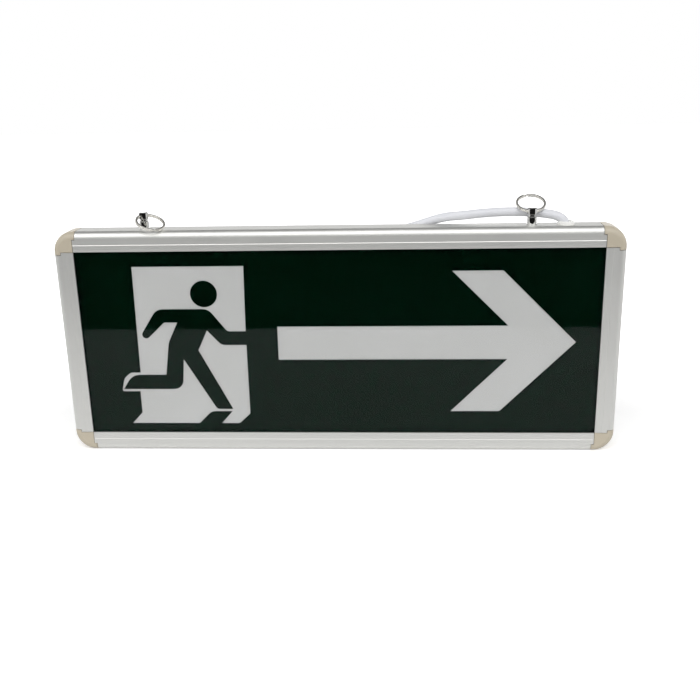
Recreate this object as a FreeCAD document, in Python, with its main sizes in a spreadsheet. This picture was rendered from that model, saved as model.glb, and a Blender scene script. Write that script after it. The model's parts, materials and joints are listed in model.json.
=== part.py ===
"""Hanging emergency exit light: a slim aluminium frame with moulded corners round a printed sign.

The frame is four lengths of one extruded rail and four copies of one moulded corner.  The printed
legend, its clear cover and the opal diffuser slide in the front groove of the rails, and the
reflector and the back panel in the rear one.  Light comes from a strip of lamps in the bottom rail;
the charger board stands behind the right rail, with its test button and lamps in the rail's side,
and the battery behind the left one.  Two turned posts with split rings carry the sign.

Frame: origin on the underside, below the middle of the sign; +X to the right seen from the front,
+Y from the front to the back, +Z up.  All sizes are millimetres.
"""
import FreeCAD, Part
import math
import os
import re

import Sketcher

DOCUMENT = FreeCAD.newDocument("exit_light")
V = FreeCAD.Vector

# ---------------------------------------------------------------- driving dimensions
SIZES = {
    # frame
    "sign_length": 350, "sign_height": 145, "sign_depth": 20,
    "rail_face": 12.5, "rail_wall": 1.2, "edge_radius": 4, "inner_radius": 2,
    "rib_wall": 1, "rib_reach": 8, "lip_width": 1.7, "lip_drop": 0.25,
    "line_inset": 4.3, "line_half": 0.3, "line_depth": 0.15,
    "seam_gap": 0.3, "seam_step": 1.7, "seam_band": 4.6,
    "tongue_length": 16, "tongue_reach": 7, "tongue_play": 0.15, "tongue_lead": 1.2,
    # sheets
    "cover_thickness": 1.5, "legend_thickness": 0.3, "diffuser_thickness": 1.7,
    "reflector_thickness": 0.6, "back_thickness": 1.6,
    "sheet_play": 0.1, "sheet_inset": 3.5, "sheet_corner": 9,
    # printed legend
    "door_height": 104.6, "door_left": 46.6, "door_base": 18,
    "arrow_length": 186, "arrow_inset": 27, "arrow_stroke": 22, "arrow_span": 92,
    # hangers
    "hanger_inset": 56, "post_height": 10.3, "post_dia": 5.7, "post_waist_dia": 4.7,
    "post_waist": 5.4, "post_waist_half": 0.45, "post_rim": 0.5,
    "post_flange_dia": 6.4, "post_flange": 0.5, "eye_height": 8, "eye_dia": 3.1,
    "stud_dia": 4, "stud_length": 6.5, "stud_play": 0.15, "nut_flats": 7, "nut_thickness": 2.8,
    "ring_dia": 18.2, "ring_wire": 1.3, "ring_thickness": 1.7, "ring_groove": 0.22, "ring_split": 0.5,
    "ring_seat": 0.24,
    "left_eye_turn": 45, "left_ring_lean": -115, "right_eye_turn": 0, "right_ring_lean": 64,
    # lead
    "cord_dia": 5.6, "grommet_inset": 35.5, "grommet_dia": 10.5, "grommet_height": 2,
    "grommet_neck_dia": 8, "grommet_lip_dia": 9.1, "grommet_lip": 1.6, "grommet_crown": 0.9,
    "grommet_mouth": 0.7, "grommet_play": 0.1,
    "hank_turns": 3, "hank_length": 97.6, "hank_fold": 16.8, "hank_waist": 0.1, "hank_round": 2,
    "core_dia": 1.8, "core_length": 16, "tail_length": 24,
    "tie_width": 4, "tie_thickness": 0.5, "tie_play": 0.1,
    # light strip
    "strip_margin": 8.5, "strip_width": 8.6, "strip_thickness": 1,
    "chip_count": 18, "chip_length": 3.5, "chip_width": 2.8, "chip_height": 0.9,
    # charger board
    "board_width": 11, "board_thickness": 1.2, "board_margin": 6, "spacer_dia": 5, "spacer_gap": 1.2, 
    "screw_dia": 2.5, "screw_head_dia": 4.4, "screw_head": 1.6, "screw_tip": 1,
    "transformer_length": 17, "transformer_width": 10, "transformer_height": 11,
    "transformer_share": 0.25, "bobbin_flange": 1.6, "bobbin_waist": 1.2,
    "capacitor_dia": 8, "capacitor_length": 12, "capacitor_share": -0.13,
    "terminal_length": 15, "terminal_width": 8, "terminal_height": 9, "terminal_share": -0.3,
    "terminal_ways": 3, "terminal_hole": 3,
    "board_play": 0.1,
    # test button and lamps
    "button_share": 0.43, "button_dia": 5, "button_proud": 0.8, "button_travel": 0.5,
    "button_fit": 0.1, "button_flange_dia": 6.6, "button_flange": 0.8,
    "switch_size": 6, "switch_height": 3.6, "plunger_dia": 3.4, "plunger_proud": 0.7,
    "plunger_depth": 1.4, "plunger_play": 0.1,
    "lamp_share": 0.54, "lamp_pitch": 8, "lamp_count": 3, "lamp_dia": 3, "lamp_play": 0.1,
    "lamp_proud": 0.7, "lamp_flange_dia": 4.2, "lamp_flange": 0.8, "lamp_pipe": 4,
    "led_base_dia": 3.6, "led_height": 1.6,
    # battery
    "cell_dia": 10, "cell_length": 30, "cell_count": 3, "cell_join": 0.5, "cell_crimp": 0.5,
    "clip_wall": 0.7, "clip_width": 8, "clip_play": 0.1, "clip_spread": 56, "clip_foot": 6,
    "clip_mouth": 6.4, "clip_clear": 0.25,
}

SHEET = DOCUMENT.addObject("Spreadsheet::Sheet", "sizes")
for row, (alias, number) in enumerate(SIZES.items(), 1):
    SHEET.set("A%d" % row, alias)
    SHEET.set("B%d" % row, str(number))
    SHEET.setAlias("B%d" % row, alias)
DOCUMENT.recompute()

# ---------------------------------------------------------------- places worked out from the sizes
# Depths are counted from the front plane, and reaches from the outer side of the frame inwards.
FRONT_GROOVE = "(cover_thickness + legend_thickness + diffuser_thickness + 2*sheet_play)"
BACK_GROOVE = "(reflector_thickness + back_thickness + 2*sheet_play)"
COVER_FRONT = "(rail_wall + sheet_play)"
LEGEND_FRONT = "(rail_wall + sheet_play + cover_thickness)"
DIFFUSER_FRONT = "(rail_wall + sheet_play + cover_thickness + legend_thickness)"
REFLECTOR_FRONT = "(sign_depth - rail_wall - sheet_play - back_thickness - reflector_thickness)"
BACK_FRONT = "(sign_depth - rail_wall - sheet_play - back_thickness)"
CHANNEL_FRONT = f"(rail_wall + {FRONT_GROOVE} + rib_wall)"
CHANNEL_BACK = f"(sign_depth - rail_wall - {BACK_GROOVE} - rib_wall)"
CHANNEL_MIDDLE = f"({CHANNEL_FRONT}/2 + {CHANNEL_BACK}/2)"
RAIL_START = "(rail_face + seam_gap)"
LONG_RAIL = "(sign_length - 2*rail_face - 2*seam_gap)"
SHORT_RAIL = "(sign_height - 2*rail_face - 2*seam_gap)"
BOARD_FOOT = "(rib_reach + board_play)"
BOARD_TOP = "(rib_reach + board_play + board_thickness)"
HANGER_PLACE = "(sign_length/2 - hanger_inset)"
GROMMET_PLACE = "(sign_length/2 - grommet_inset)"
RING_ARM = "(ring_dia/2 - ring_wire/2 - ring_seat)"
STRIP_LENGTH = "(sign_length - 2*rail_face - 2*tongue_length - 2*strip_margin)"
SPACER_SPREAD = "(sign_height - 2*rail_face - 2*tongue_length - spacer_dia - 2*spacer_gap)"
BOARD_LENGTH = f"({SPACER_SPREAD} + 2*board_margin)"
BUTTON_PLACE = "(button_share*sign_height)"
LAMP_PLACE = "(lamp_share*sign_height)"


def bound(expression):
    """The expression with every size's name read from the sheet."""
    return re.sub(r"[a-z]\w*", lambda word: "sizes." + word.group() if word.group() in SIZES
                  else word.group(), str(expression))


def value(expression):
    """What the expression comes to now."""
    return float(SHEET.evalExpression(str(expression)))


# ---------------------------------------------------------------- ways of making a piece
def body(label):
    made = DOCUMENT.addObject("PartDesign::Body", label)
    made.Label = label
    return made


def plane(part, role):
    return next(feature for feature in part.Origin.OriginFeatures if feature.Role == role)


def new_sketch(part, role):
    sketch = part.newObject("Sketcher::SketchObject", "sketch")
    sketch.AttachmentSupport = [(plane(part, role), "")]
    sketch.MapMode = "FlatFace"
    return sketch


def pin_point(sketch, geometry, end, x, y):
    """Ties one end of a line, or a circle's centre, to its place on the sheet."""
    for kind, expression, axis in (("DistanceX", x, -2), ("DistanceY", y, -1)):
        number = value(expression)
        if str(expression) == "0":
            sketch.addConstraint(Sketcher.Constraint("PointOnObject", geometry, end, axis))
            continue
        index = sketch.addConstraint(Sketcher.Constraint(kind, -1, 1, geometry, end, number))
        sketch.setExpression("Constraints[%d]" % index, bound(expression))


def add_outline(sketch, points):
    """A closed outline of straight lines through points given as pairs of expressions."""
    places = [V(value(x), value(y), 0) for x, y in points]
    first = sketch.GeometryCount
    for here, there in zip(places, places[1:] + places[:1]):
        sketch.addGeometry(Part.LineSegment(here, there))
    for number, (x, y) in enumerate(points):
        follower = first + (number + 1) % len(points)
        sketch.addConstraint(Sketcher.Constraint("Coincident", first + number, 2, follower, 1))
        pin_point(sketch, first + number, 1, x, y)


def add_circle(sketch, x, y, diameter):
    geometry = sketch.addGeometry(Part.Circle(V(value(x), value(y), 0), V(0, 0, 1),
                                              value(diameter) / 2))
    pin_point(sketch, geometry, 3, x, y)
    index = sketch.addConstraint(Sketcher.Constraint("Diameter", geometry, value(diameter)))
    sketch.setExpression("Constraints[%d]" % index, bound(diameter))


def rectangle(x0, y0, x1, y1):
    return [(x0, y0), (x1, y0), (x1, y1), (x0, y1)]


def extrude(part, sketch, length, kind="Pad", flip=False):
    """A pad or pocket of the sketch, bound to its length."""
    feature = part.newObject("PartDesign::" + kind, kind.lower())
    feature.Profile = sketch
    feature.Length = value(length)
    feature.setExpression("Length", bound(length))
    feature.Reversed = flip
    DOCUMENT.recompute()
    return feature


def turn(part, points, role="XZ_Plane", angle=360.0, axis="V_Axis", kind="Revolution", flip=False):
    """A turned piece: its half section swept round an axis of the sketch."""
    sketch = new_sketch(part, role)
    add_outline(sketch, points)
    feature = part.newObject("PartDesign::" + kind, kind.lower())
    feature.Profile = sketch
    feature.ReferenceAxis = (sketch, [axis])
    feature.Angle = angle
    feature.Reversed = flip
    DOCUMENT.recompute()
    return feature


def sweep_round(part, sketch, across, angle):
    """Turns the sketch about an upright line of its own, which stands the given way across it."""
    axle = sketch.addGeometry(Part.LineSegment(V(value(across), 0, 0),
                                               V(value(across), value("sign_depth"), 0)), True)
    pin_point(sketch, axle, 1, across, "0")
    sketch.addConstraint(Sketcher.Constraint("Vertical", axle))
    feature = part.newObject("PartDesign::Revolution", "revolution")
    feature.Profile = sketch
    feature.ReferenceAxis = (sketch, ["Axis0"])
    feature.Angle = angle
    DOCUMENT.recompute()
    return feature


def drill(part, role, circles, depth, flip=False):
    """Round holes; each is a pair of places and a diameter."""
    sketch = new_sketch(part, role)
    for x, y, diameter in circles:
        add_circle(sketch, x, y, diameter)
    return extrude(part, sketch, depth, "Pocket", flip)


def edges_where(shape, test):
    """Names of the edges on which every tried point passes the test."""
    names = []
    for number, edge in enumerate(shape.Edges, 1):
        first, last = edge.ParameterRange
        tried = [edge.valueAt(first + (last - first) * share) for share in (0.1, 0.5, 0.9)]
        if all(test(point) for point in tried):
            names.append("Edge%d" % number)
    return names


def round_edges(part, test, radius, kind="Fillet"):
    """A fillet or chamfer on the edges of the body's last feature that pass the test."""
    base = part.Tip
    feature = part.newObject("PartDesign::" + kind, kind.lower())
    feature.Base = (base, edges_where(base.Shape, test))
    name = "Radius" if kind == "Fillet" else "Size"
    setattr(feature, name, value(radius))
    feature.setExpression(name, bound(radius))
    DOCUMENT.recompute()
    return feature


def near(left, right):
    return abs(left - right) < 1e-4


def put(part, x="0", y="0", z="0", axis=V(0, 1, 0), angle="0"):
    """Places a piece, with every coordinate bound to the sheet."""
    part.Placement = FreeCAD.Placement(V(0, 0, 0), FreeCAD.Rotation(axis, value(angle)))
    part.setExpression("Placement.Rotation.Angle", bound(angle))
    for name, expression in (("x", x), ("y", y), ("z", z)):
        part.setExpression("Placement.Base." + name, bound(expression))
    DOCUMENT.recompute()


def plain(label, shape):
    """A piece whose shape is made directly."""
    made = DOCUMENT.addObject("Part::Feature", label)
    made.Label = label
    made.Shape = shape
    return made


# ---------------------------------------------------------------- frame
QUARTERS = {"left": 0, "top": 1, "right": 2, "bottom": 3}
RAIL_CORNER = {
    "left": ("-sign_length/2", RAIL_START),
    "top": (f"-sign_length/2 + {RAIL_START}", "sign_height"),
    "right": ("sign_length/2", f"sign_height - {RAIL_START}"),
    "bottom": (f"sign_length/2 - {RAIL_START}", "0"),
}


def rail_section():
    """Reach inwards and depth of a C with two sheet grooves, from the outer front corner round."""
    front = "rail_wall"
    back = "sign_depth - rail_wall"
    groove_front = f"rail_wall + {FRONT_GROOVE}"
    groove_back = f"sign_depth - rail_wall - {BACK_GROOVE}"
    line = "rail_face - line_inset"
    flange = [("0", "0"), (f"{line} - line_half", "0"), (line, "line_depth"),
              (f"{line} + line_half", "0"), ("rail_face - lip_width", "0"),
              ("rail_face", "lip_drop")]
    back_flange = [(inward, f"sign_depth - {depth}") for inward, depth in reversed(flange)]
    return [*flange, ("rail_face", front), ("rail_wall", front),
            ("rail_wall", groove_front), ("rib_reach", groove_front),
            ("rib_reach", CHANNEL_FRONT), ("rail_wall", CHANNEL_FRONT),
            ("rail_wall", CHANNEL_BACK), ("rib_reach", CHANNEL_BACK),
            ("rib_reach", groove_back), ("rail_wall", groove_back),
            ("rail_wall", back), ("rail_face", back), *back_flange]


def make_rail(side, length, holes):
    """One extruded rail: section in its own XY plane, length along its own Z."""
    rail = body(side + "_rail")
    sketch = new_sketch(rail, "XY_Plane")
    add_outline(sketch, rail_section())
    extrude(rail, sketch, length)
    depth = value("sign_depth")
    wall = value("rail_wall")
    round_edges(rail, lambda p: near(p.x, 0) and (near(p.y, 0) or near(p.y, depth)), "edge_radius")
    round_edges(rail, lambda p: near(p.x, wall) and (near(p.y, wall) or near(p.y, depth - wall)),
                "inner_radius")
    notch = "seam_band + seam_gap"
    for low, high in (("0", "seam_step"), (f"{length} - seam_step", length)):
        sketch = new_sketch(rail, "XZ_Plane")
        add_outline(sketch, rectangle("0", low, notch, high))
        extrude(rail, sketch, "sign_depth", "Pocket")
    if holes:
        drill(rail, "YZ_Plane", [(CHANNEL_MIDDLE, place, across) for place, across in holes],
              "rail_wall", flip=True)
    x, z = RAIL_CORNER[side]
    put(rail, x, "-sign_depth/2", z, V(0, 1, 0), f"{90 * QUARTERS[side]}")
    return rail


def corner_reach(point):
    """How far a point of a corner lies inside the outer side, along both arms and the bend."""
    face = value("rail_face")
    if point.z <= 0:
        return point.x
    if point.x >= face:
        return face - point.z
    return face - math.hypot(point.x - face, point.z)


def make_corner(label, quarter, x, z):
    """One moulded corner: the rail's section turned a quarter, with a tongue for each rail."""
    corner = body(label)
    front = "rail_wall"
    back = "sign_depth - rail_wall"
    groove_front = f"rail_wall + {FRONT_GROOVE}"
    groove_back = f"sign_depth - rail_wall - {BACK_GROOVE}"
    sketch = new_sketch(corner, "XY_Plane")
    add_outline(sketch, [("0", "0"), ("rail_face", "0"), ("rail_face", front),
                         ("rail_wall", front), ("rail_wall", groove_front),
                         ("rib_reach", groove_front), ("rib_reach", groove_back),
                         ("rail_wall", groove_back), ("rail_wall", back), ("rail_face", back),
                         ("rail_face", "sign_depth"), ("0", "sign_depth")])
    sweep_round(corner, sketch, "rail_face", 90.0)
    # the outer band runs a little way along each rail, in the same C as the rail's own outside
    band = [("0", "0"), ("seam_band", "0"), ("seam_band", front), ("rail_wall", front),
            ("rail_wall", back), ("seam_band", back), ("seam_band", "sign_depth"),
            ("0", "sign_depth")]
    low, high = f"{CHANNEL_FRONT} + tongue_play", f"{CHANNEL_BACK} - tongue_play"
    reach = "rail_wall + tongue_play"
    sketch = new_sketch(corner, "XY_Plane")
    add_outline(sketch, band)
    extrude(corner, sketch, "seam_step", flip=True)
    sketch = new_sketch(corner, "XY_Plane")
    add_outline(sketch, rectangle(reach, low, "tongue_reach", high))
    extrude(corner, sketch, "tongue_length", flip=True)
    # the second arm runs along +X from the far end of the bend
    sketch = new_sketch(corner, "YZ_Plane")
    sketch.AttachmentOffset = FreeCAD.Placement(V(0, 0, value("rail_face")), FreeCAD.Rotation())
    sketch.setExpression("AttachmentOffset.Base.z", bound("rail_face"))
    add_outline(sketch, [(depth, f"rail_face - ({inward})") for inward, depth in band])
    extrude(corner, sketch, "seam_step")
    sketch = new_sketch(corner, "YZ_Plane")
    sketch.AttachmentOffset = FreeCAD.Placement(V(0, 0, value("rail_face")), FreeCAD.Rotation())
    sketch.setExpression("AttachmentOffset.Base.z", bound("rail_face"))
    add_outline(sketch, rectangle(low, f"rail_face - ({reach})", high, "rail_face - tongue_reach"))
    extrude(corner, sketch, "tongue_length")
    depth = value("sign_depth")
    wall = value("rail_wall")
    step = value("seam_step")
    tip = value("tongue_length")
    face = value("rail_face")
    round_edges(corner, lambda p: near(corner_reach(p), 0) and (near(p.y, 0) or near(p.y, depth))
                and p.z > -step and p.x < face + step, "edge_radius")
    round_edges(corner, lambda p: near(corner_reach(p), wall)
                and (near(p.y, wall) or near(p.y, depth - wall)), "inner_radius")
    round_edges(corner, lambda p: near(p.z, -tip) or near(p.x, face + tip), "tongue_lead",
                "Chamfer")
    put(corner, x, "-sign_depth/2", z, V(0, 1, 0), f"{90 * quarter}")
    return corner


POST_HOLE = "stud_dia + 2*stud_play"
TOP_HOLES = [(f"sign_length/2 - {HANGER_PLACE} - {RAIL_START}", POST_HOLE),
             (f"sign_length/2 + {HANGER_PLACE} - {RAIL_START}", POST_HOLE),
             (f"sign_length/2 + {GROMMET_PLACE} - {RAIL_START}",
              "grommet_neck_dia + 2*grommet_play")]
SIDE_HOLES = [(f"sign_height - {RAIL_START} - {BUTTON_PLACE}", "button_dia + 2*button_fit")]
SIDE_HOLES += [(f"sign_height - {RAIL_START} - {LAMP_PLACE} - {step}*lamp_pitch",
                "lamp_dia + 2*lamp_play") for step in range(SIZES["lamp_count"])]
make_rail("left", SHORT_RAIL, [])
make_rail("top", LONG_RAIL, TOP_HOLES)
make_rail("right", SHORT_RAIL, SIDE_HOLES)
make_rail("bottom", LONG_RAIL, [])
make_corner("top_left_corner", 0, "-sign_length/2", "sign_height - rail_face")
make_corner("top_right_corner", 1, "sign_length/2 - rail_face", "sign_height")
make_corner("bottom_right_corner", 2, "sign_length/2", "rail_face")
make_corner("bottom_left_corner", 3, "-sign_length/2 + rail_face", "0")


# ---------------------------------------------------------------- sheets
def make_sheet(label, front, thickness):
    """A rounded sheet held in the grooves all round; its front lies at the given depth."""
    sheet = body(label)
    sketch = new_sketch(sheet, "XZ_Plane")
    half = "(sign_length/2 - sheet_inset)"
    add_outline(sketch, rectangle(f"-{half}", "sheet_inset", half, "sign_height - sheet_inset"))
    extrude(sheet, sketch, thickness, flip=True)
    across, low, high = value(half), value("sheet_inset"), value("sign_height - sheet_inset")
    round_edges(sheet, lambda p: near(abs(p.x), across) and (near(p.z, low) or near(p.z, high)),
                "sheet_corner")
    put(sheet, y=f"{front} - sign_depth/2")
    return sheet


make_sheet("front_cover", COVER_FRONT, "cover_thickness")
make_sheet("diffuser", DIFFUSER_FRONT, "diffuser_thickness")
make_sheet("reflector_sheet", REFLECTOR_FRONT, "reflector_thickness")
make_sheet("back_panel", BACK_FRONT, "back_thickness")


# ---------------------------------------------------------------- printed legend
# The doorway and the runner are drawn on a door one unit high, from its lower left corner: across,
# up, and the radius that rounds the corner there.
DOORWAY = [
    (0.009, 1.0, 0), (0.680, 1.0, 0),
    # the runner's leading arm, shoulders and trailing arm
    (0.672, 0.597, 0), (0.560, 0.597, 0.03), (0.452, 0.737, 0.07), (0.135, 0.737, 0.07),
    (0.030, 0.575, 0.024), (0.063, 0.548, 0.024), (0.178, 0.655, 0), (0.258, 0.655, 0),
    # back, trailing leg and heel
    (0.196, 0.527, 0.1), (0.165, 0.320, 0), (-0.050, 0.320, 0.09), (-0.108, 0.228, 0),
    (0.262, 0.228, 0.06), (0.280, 0.422, 0),
    # leading leg and foot
    (0.468, 0.096, 0.03), (0.566, 0.096, 0), (0.375, 0.478, 0), (0.436, 0.604, 0),
    (0.520, 0.512, 0.05), (0.672, 0.512, 0),
    # right side of the doorway, its sill and the shadow of the foot
    (0.672, 0.066, 0), (0.602, 0.0, 0), (0.490, 0.0, 0), (0.560, 0.080, 0),
    (0.430, 0.080, 0.06), (0.350, 0.0, 0), (-0.074, 0.0, 0),
    # the light round the trailing foot
    (-0.008, 0.072, 0), (-0.008, 0.212, 0), (-0.121, 0.212, 0.012), (-0.100, 0.300, 0.06),
    (-0.055, 0.336, 0.03), (0.004, 0.336, 0),
]
HEAD = (0.431, 0.831, 0.081)


def rounded_path(points, closed):
    """Straight runs joined by tangent arcs: the points are (place, radius) pairs."""
    edges = []
    ends = []
    count = len(points)
    for number, (here, radius) in enumerate(points):
        before = points[number - 1][0]
        after = points[(number + 1) % count][0]
        if radius <= 0 or (not closed and number in (0, count - 1)):
            ends.append((here, None, here))
            continue
        back = (before - here).normalize()
        ahead = (after - here).normalize()
        turn_half = (math.pi - back.getAngle(ahead)) / 2
        setback = radius * math.tan(turn_half)
        middle = (back + ahead).normalize()
        apex = here + middle * (radius / math.cos(turn_half) - radius)
        ends.append((here + back * setback, apex, here + ahead * setback))
    for number, (start, apex, end) in enumerate(ends):
        if apex is not None:
            edges.append(Part.Arc(start, apex, end).toShape())
        if closed or number < count - 1:
            following = ends[(number + 1) % count][0]
            if (following - end).Length > 1e-6:
                edges.append(Part.LineSegment(end, following).toShape())
    return Part.Wire(edges)


def legend_shape():
    """The green film: a rounded sheet with the doorway cut out, and the runner's head in it."""
    half = value("sign_length/2 - sheet_inset")
    low, high = value("sheet_inset"), value("sign_height - sheet_inset")
    bend = value("sheet_corner")
    outer = rounded_path([(V(x, 0, z), bend) for x, z in
                          ((-half, low), (half, low), (half, high), (-half, high))], True)
    tall = value("door_height")
    left = value("door_left - sign_length/2")
    base = value("door_base")
    doorway = rounded_path([(V(left + x * tall, 0, base + z * tall), radius * tall)
                            for x, z, radius in DOORWAY], True)
    thick = V(0, value("legend_thickness"), 0)
    film = Part.Face(outer).extrude(thick)
    film = film.cut(Part.Face(doorway).extrude(thick)).cut(Part.Face(arrow_outline()).extrude(thick))
    x, z, radius = (number * tall for number in HEAD)
    head = Part.makeCylinder(radius, thick.y, V(left + x, 0, base + z), V(0, 1, 0))
    return Part.makeCompound([film, head])


def arrow_outline():
    """A plain arrow that points to the right: a shaft and a square head of one stroke."""
    tip = value("sign_length/2 - arrow_inset")
    tail = tip - value("arrow_length")
    axis = value("sign_height/2")
    shaft, head = value("arrow_stroke/2"), value("arrow_span/2")
    inner = tip - value("arrow_stroke") * math.sqrt(2)
    places = [(tail, -shaft), (inner - shaft, -shaft), (inner - head, -head), (tip - head, -head),
              (tip, 0), (tip - head, head), (inner - head, head), (inner - shaft, shaft),
              (tail, shaft)]
    return Part.makePolygon([V(x, 0, axis + up) for x, up in places + places[:1]])


legend = plain("legend_film", legend_shape())
legend.Placement = FreeCAD.Placement(V(0, value(f"{LEGEND_FRONT} - sign_depth/2"), 0),
                                     FreeCAD.Rotation())


# ---------------------------------------------------------------- hangers
def make_post(label, place, eye_turn):
    """A turned post: threaded stud, small foot, shank, waist and a cross-drilled head."""
    post = body(label)
    radius, waist = "post_dia/2", "post_waist_dia/2"
    low, high = "post_waist - post_waist_half", "post_waist + post_waist_half"
    turn(post, [("0", "-stud_length"), ("stud_dia/2 - 0.4", "-stud_length"),
                ("stud_dia/2", "-stud_length + 0.4"), ("stud_dia/2", "0"),
                ("post_flange_dia/2", "0"), ("post_flange_dia/2", "post_flange"),
                (radius, "post_flange"), (radius, f"{low} - (post_dia - post_waist_dia)/2"),
                (waist, low), (waist, high), (radius, f"{high} + (post_dia - post_waist_dia)/2"),
                (radius, "post_height - post_rim"), ("post_dia/2 - post_rim", "post_height"),
                ("0", "post_height")])
    sketch = new_sketch(post, "YZ_Plane")
    add_circle(sketch, "0", "eye_height", "eye_dia")
    eye = extrude(post, sketch, "2*post_dia", "Pocket")
    eye.Midplane = True
    DOCUMENT.recompute()
    put(post, place, f"{CHANNEL_MIDDLE} - sign_depth/2", "sign_height", V(0, 0, 1), eye_turn)
    return post


def make_ring(label, place, eye_turn, lean):
    """A split ring of two flat turns, lying in its own XY plane and hung by its own -Y side."""
    ring = body(label)
    outer, inner = "ring_dia/2", "(ring_dia/2 - ring_wire)"
    half = "ring_thickness/2"
    turn(ring, [(inner, f"-{half}"), (outer, f"-{half}"), (outer, "-ring_groove"),
                (f"{outer} - ring_groove", "0"), (outer, "ring_groove"), (outer, half),
                (inner, half), (inner, "ring_groove"), (f"{inner} + ring_groove", "0"),
                (inner, "-ring_groove")])
    # the two ends of the coiled wire, one in each turn
    for far, flip in (("1.5*ring_split", True), ("-1.5*ring_split", False)):
        sketch = new_sketch(ring, "XY_Plane")
        add_outline(sketch, rectangle(far, "ring_dia/2 - 2*ring_wire", f"{far} + ring_split",
                                      "ring_dia/2 + ring_wire"))
        extrude(ring, sketch, "ring_thickness", "Pocket", flip)
    axis = FreeCAD.Rotation(V(0, 0, 1), value(eye_turn))
    lean_back = FreeCAD.Rotation(V(1, 0, 0), 90 - value(lean))
    hang = axis.multiply(lean_back)
    eye = V(value(place), value(f"{CHANNEL_MIDDLE} - sign_depth/2"),
            value("sign_height + eye_height"))
    ring.Placement = FreeCAD.Placement(eye + hang.multVec(V(0, value(RING_ARM), 0)), hang)
    return ring


def make_nut(label, place):
    """The hexagon nut that holds a post under the rail's outer wall."""
    hexagon = DOCUMENT.addObject("Part::Prism", label + "_hexagon")
    hexagon.Polygon = 6
    hexagon.setExpression("Circumradius", bound("nut_flats/sqrt(3)"))
    hexagon.setExpression("Height", bound("nut_thickness"))
    thread = DOCUMENT.addObject("Part::Cylinder", label + "_thread")
    thread.setExpression("Radius", bound("stud_dia/2 + 0.02"))
    thread.setExpression("Height", bound("nut_thickness"))
    nut = DOCUMENT.addObject("Part::Cut", label)
    nut.Label = label
    nut.Base = hexagon
    nut.Tool = thread
    put(nut, place, f"{CHANNEL_MIDDLE} - sign_depth/2", "sign_height - rail_wall - nut_thickness")
    return nut


for side, sign in (("left", "-"), ("right", "")):
    make_post(f"hanger_post_{side}", f"{sign}{HANGER_PLACE}", f"{side}_eye_turn")
    make_ring(f"ring_{side}", f"{sign}{HANGER_PLACE}", f"{side}_eye_turn", f"{side}_ring_lean")
    make_nut(f"hanger_nut_{side}", f"{sign}{HANGER_PLACE}")


# ---------------------------------------------------------------- lead
grommet = body("cable_grommet")
LIP = "-rail_wall - grommet_play - grommet_lip"
turn(grommet, [("cord_dia/2", LIP), ("grommet_neck_dia/2 - 0.3", LIP),
               ("grommet_lip_dia/2", "-rail_wall - grommet_play"),
               ("grommet_neck_dia/2", "-rail_wall - grommet_play"), ("grommet_neck_dia/2", "0"),
               ("grommet_dia/2", "0"), ("grommet_dia/2", "grommet_height - grommet_crown"),
               ("grommet_dia/2 - grommet_crown", "grommet_height"),
               ("cord_dia/2 + grommet_mouth", "grommet_height"),
               ("cord_dia/2", "grommet_height - 2*grommet_mouth")])
put(grommet, GROMMET_PLACE, f"{CHANNEL_MIDDLE} - sign_depth/2", "sign_height")

# The lead's route, point by point: out of the grommet, behind the right post, down over the back
# edge of the frame, down the back and into the top layer of the hank.
ROUTE = [
    (139.5, 0.65, 140.2), (139.5, 0.65, 146.4), (134.7, 2.0, 149.9), (127.5, 5.5, 150.8),
    (117.5, 7.7, 151.4), (104.0, 7.8, 151.7), (88.0, 6.4, 151.3), (71.5, 4.8, 149.9),
    (57.0, 4.6, 148.9), (45.5, 8.4, 149.2), (37.0, 15.2, 147.6), (31.5, 20.6, 139.5),
    (28.5, 22.6, 124.0), (26.0, 21.6, 100.0), (23.5, 20.0, 74.0), (19.5, 19.4, 50.0),
    (11.5, 18.4, 31.0), (-2.0, 17.2, 19.0), (-17.0, 16.4, 14.4), (-33.0, 16.2, 14.0),
]
HANK_CENTRE = (-70.0, 33.0)


def route_radii(points):
    """The largest arc that each inner point's two runs allow."""
    radii = [0.0]
    for before, here, after in zip(points, points[1:], points[2:]):
        run = min((here - before).Length, (after - here).Length)
        half_turn = (here - before).getAngle(after - here) / 2
        radii.append(0.45 * run / math.tan(half_turn))
    return radii + [0.0]


def sweep(wire, radius):
    """A round tube along the wire."""
    start = wire.Edges[0]
    tangent = start.tangentAt(start.FirstParameter)
    circle = Part.Wire(Part.Circle(start.valueAt(start.FirstParameter), tangent, radius).toShape())
    return wire.makePipeShell([circle], True, False)


def make_cord(hank):
    aside = V(value(GROMMET_PLACE) - ROUTE[0][0], 0, 0)
    points = [V(*place) + aside for place in ROUTE]
    radii = route_radii(points)
    print("cord radii", [round(radius, 1) for radius in radii[1:-1]])
    wire = rounded_path(list(zip(points, radii)), False)
    tube = sweep(wire, value("cord_dia/2"))
    section = math.pi * value("cord_dia/2") ** 2
    print("cord length", round(wire.Length, 1), "volume share",
          round(tube.Volume / (section * wire.Length), 4))
    return plain("supply_cord", tube.cut(hank))


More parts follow.
